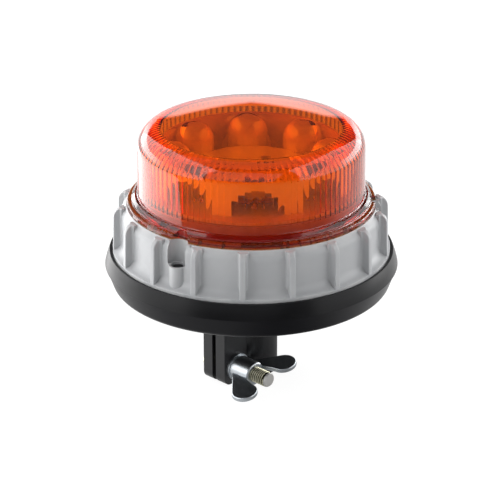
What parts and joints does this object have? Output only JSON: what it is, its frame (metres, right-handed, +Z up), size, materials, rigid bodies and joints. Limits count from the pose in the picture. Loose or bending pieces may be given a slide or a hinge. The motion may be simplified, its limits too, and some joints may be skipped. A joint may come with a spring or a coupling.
{
  "type": "strobe beacon",
  "caption": "Amber strobe beacon with a fluted lens on a ribbed grey housing, and a black base with a split stem that a bolt and wing nut clamp round a pole.",
  "frame": {"origin": "stem axis at the mouth of the pole socket", "axes": "+Z up along the stem, lens at the top; the pictured front faces -Y"},
  "size_m": [0.152, 0.152, 0.1388],
  "materials": {
    "amber_lens": "clear amber moulding, gloss outside, fluted inside",
    "seal_rubber": "matt black rubber",
    "cast_grey": "satin grey coated die casting",
    "rim_rubber": "satin black rubber",
    "base_black": "fine-textured black moulding",
    "pad_grey": "soft grey heat-conducting pad",
    "board_white": "white solder mask",
    "reflector_silver": "metallised plastic",
    "part_black": "moulded black package",
    "board_green": "green solder mask",
    "ferrite_dark": "sintered ferrite",
    "terminal_green": "moulded terminal block",
    "carrier_black": "moulded insulator",
    "contact_brass": "bright brass",
    "spring_steel": "drawn wire",
    "lead_red": "insulated lead",
    "lead_brown": "insulated lead",
    "bolt_zinc": "yellow-passivated zinc",
    "nut_zinc": "bright zinc plate",
    "screw_steel": "plated steel",
    "screw_black": "black-oxide steel",
    "led_yellow": "phosphor under a clear dome",
    "can_aluminium": "drawn can"
  },
  "bodies": {
    "beacon": {"base_rim": "rim_rubber", "board_link": "part_black", "capacitor_1": "can_aluminium", "capacitor_2": "can_aluminium", "carrier_screw_1": "screw_steel", "carrier_screw_2": "screw_steel", "clamp_bolt": "bolt_zinc", "contact_carrier": "carrier_black", "contact_spring": "spring_steel", "controller_chip": "part_black", "driver_board": "board_green", "driver_screw_1": "screw_steel", "driver_screw_2": "screw_steel", "driver_screw_3": "screw_steel", "earth_contact": "contact_brass", "earth_lead": "lead_brown", "housing": "cast_grey", "housing_screw_1": "screw_black", "housing_screw_2": "screw_black", "housing_screw_3": "screw_black", "inductor": "ferrite_dark", "led_1": "led_yellow", "led_2": "led_yellow", "led_3": "led_yellow", "led_4": "led_yellow", "led_5": "led_yellow", "led_6": "led_yellow", "led_7": "led_yellow", "led_8": "led_yellow", "led_board": "board_white", "lens_dome": "amber_lens", "lens_seal": "seal_rubber", "live_terminal": "contact_brass", "mount_base": "base_black", "pole_clamp": "base_black", "positive_lead": "lead_red", "power_switch": "part_black", "reflector_crown": "reflector_silver", "standoff_1": "contact_brass", "standoff_2": "contact_brass", "standoff_3": "contact_brass", "terminal_block": "terminal_green", "thermal_pad": "pad_grey", "unit_screw_1": "screw_steel", "unit_screw_2": "screw_steel", "unit_screw_3": "screw_steel"},
    "washer": {"clamp_washer": "nut_zinc"},
    "wing_nut": {"wing_nut": "nut_zinc"},
    "plunger": {"centre_contact": "contact_brass"}
  },
  "joints": [
    {"name": "nut_travel", "type": "slide", "parent": "beacon", "child": "washer", "axis": [0.7193, -0.6947, 0], "range_m": [0, 0.0075]},
    {"name": "nut_turn", "type": "hinge", "parent": "washer", "child": "wing_nut", "pos_m": [-0.00654, -0.02023, 0.009], "axis": [0.7193, -0.6947, 0], "range_deg": [0, 2160]},
    {"name": "plunger_slide", "type": "slide", "parent": "beacon", "child": "plunger", "axis": [0, 0, 1], "range_m": [0, 0.0025], "stiffness_N_per_m": 600, "springref_m": -0.003, "deforming": ["contact_spring"]}
  ],
  "couplings": [
    {"joint": "nut_travel", "follows": "nut_turn", "m_per_rad": 0.00019894}
  ]
}
